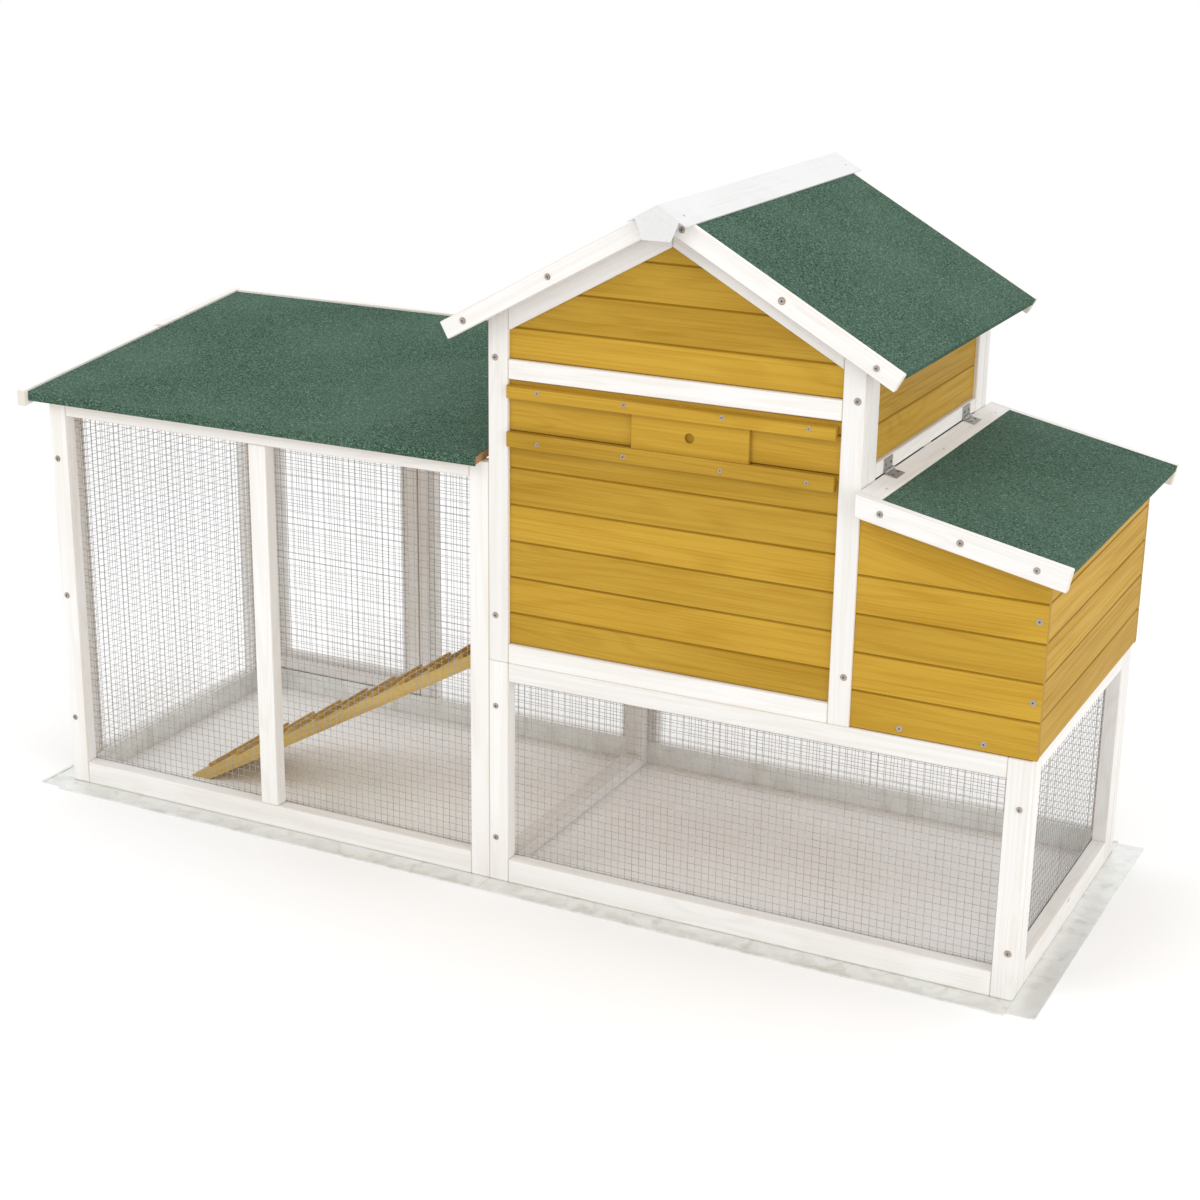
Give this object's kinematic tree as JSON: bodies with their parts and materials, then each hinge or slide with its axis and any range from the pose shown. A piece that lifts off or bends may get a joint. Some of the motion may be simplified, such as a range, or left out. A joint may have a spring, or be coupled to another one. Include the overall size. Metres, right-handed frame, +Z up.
{
  "type": "raised chicken coop with wire run",
  "caption": "Wooden chicken coop: a low wire run joined to a raised gabled house on a wired base, with a ramp, a nest box with a hinged lid and a sliding front vent.",
  "frame": {"origin": "on the ground under the middle of the coop", "axes": "+X along the coop from the run to the nest box, +Y from the front to the back, +Z up"},
  "size_m": [1.916, 0.732, 1.1823],
  "materials": {
    "whitewashed_wood": "white-washed softwood, matt",
    "golden_planks": "honey-yellow stained tongue and groove boards",
    "plain_wood": "bare planed softwood",
    "plywood": "bare plywood",
    "roofing_felt": "green mineral felt, rough",
    "white_sheet": "white painted folded sheet",
    "galvanised_strip": "galvanised, weathered",
    "wire_mesh": "galvanised welded wire",
    "steel_fittings": "zinc plated steel"
  },
  "bodies": {
    "body": {"base_back_frame": "whitewashed_wood", "base_end_frame": "whitewashed_wood", "base_front_frame": "whitewashed_wood", "base_mesh_panels": "wire_mesh", "frame_screws": "steel_fittings", "ground_strips_ends": "galvanised_strip", "ground_strips_long": "galvanised_strip", "hinge_frame_leaves": "steel_fittings", "hinge_pins": "steel_fittings", "house_back_frame": "whitewashed_wood", "house_back_planks": "golden_planks", "house_bargeboards": "whitewashed_wood", "house_floor": "plywood", "house_floor_battens": "plain_wood", "house_front_frame": "whitewashed_wood", "house_front_planks": "golden_planks", "house_left_frame": "whitewashed_wood", "house_left_planks": "golden_planks", "house_right_frame": "whitewashed_wood", "house_right_planks": "golden_planks", "house_roof_boards": "plywood", "house_roof_felt": "roofing_felt", "house_support_frame": "whitewashed_wood", "nest_back_wall": "golden_planks", "nest_corner_posts": "plain_wood", "nest_end_wall": "golden_planks", "nest_floor": "plywood", "nest_front_wall": "golden_planks", "nest_partition": "plywood", "perch": "plain_wood", "pop_door_guides": "plain_wood", "ridge_cap": "white_sheet", "run_back_frame": "whitewashed_wood", "run_front_frame": "whitewashed_wood", "run_left_frame": "whitewashed_wood", "run_mesh_panels": "wire_mesh", "run_roof_board": "plywood", "run_roof_felt": "roofing_felt", "run_roof_trims": "whitewashed_wood", "vent_battens": "golden_planks"},
    "lid": {"lid_board": "plywood", "lid_felt": "roofing_felt", "lid_hinge_rail": "whitewashed_wood", "lid_bargeboards": "whitewashed_wood", "lid_hinge_leaves": "steel_fittings", "lid_screws": "steel_fittings"},
    "shutter": {"vent_shutter": "golden_planks"},
    "run_door": {"run_door_frame": "whitewashed_wood", "run_door_mesh": "wire_mesh", "run_door_hinge_leaves": "steel_fittings"},
    "house_door": {"house_door_frame": "whitewashed_wood", "house_door_planks": "golden_planks", "house_door_hinge_leaves": "steel_fittings"},
    "run_button": {"run_door_button": "plain_wood"},
    "house_button": {"house_door_button": "plain_wood"},
    "pop_door": {"pop_door": "plain_wood"},
    "ramp": {"ramp_board": "golden_planks", "ramp_cleats": "golden_planks", "ramp_hinge_leaves": "steel_fittings"}
  },
  "joints": [
    {"name": "nest_lid_hinge", "type": "hinge", "parent": "body", "child": "lid", "pos_m": [0.6263, 0, 0.78369], "axis": [0, -1, 0], "range_deg": [0, 75]},
    {"name": "vent_shutter_slide", "type": "slide", "parent": "body", "child": "shutter", "axis": [1, 0, 0], "range_m": [-0.205, 0.125]},
    {"name": "run_door_hinge", "type": "hinge", "parent": "body", "child": "run_door", "pos_m": [-0.874, 0.3113, 0.4], "axis": [0, 0, 1], "range_deg": [0, 110]},
    {"name": "house_door_hinge", "type": "hinge", "parent": "body", "child": "house_door", "pos_m": [0.026, 0.3113, 0.65], "axis": [0, 0, 1], "range_deg": [0, 110]},
    {"name": "run_button_turn", "type": "hinge", "parent": "body", "child": "run_button", "pos_m": [-0.493, 0.313, 0.41156], "axis": [0, -1, 0], "range_deg": [0, 90]},
    {"name": "house_button_turn", "type": "hinge", "parent": "body", "child": "house_button", "pos_m": [0.599, 0.313, 0.656], "axis": [0, -1, 0], "range_deg": [0, 90]},
    {"name": "pop_door_slide", "type": "slide", "parent": "body", "child": "pop_door", "axis": [0, 1, 0], "range_m": [-0.216, 0.02]},
    {"name": "ramp_hinge", "type": "hinge", "parent": "body", "child": "ramp", "pos_m": [-0.0143, 0, 0.41291], "axis": [0, 1, 0], "range_deg": [0, 45]}
  ]
}
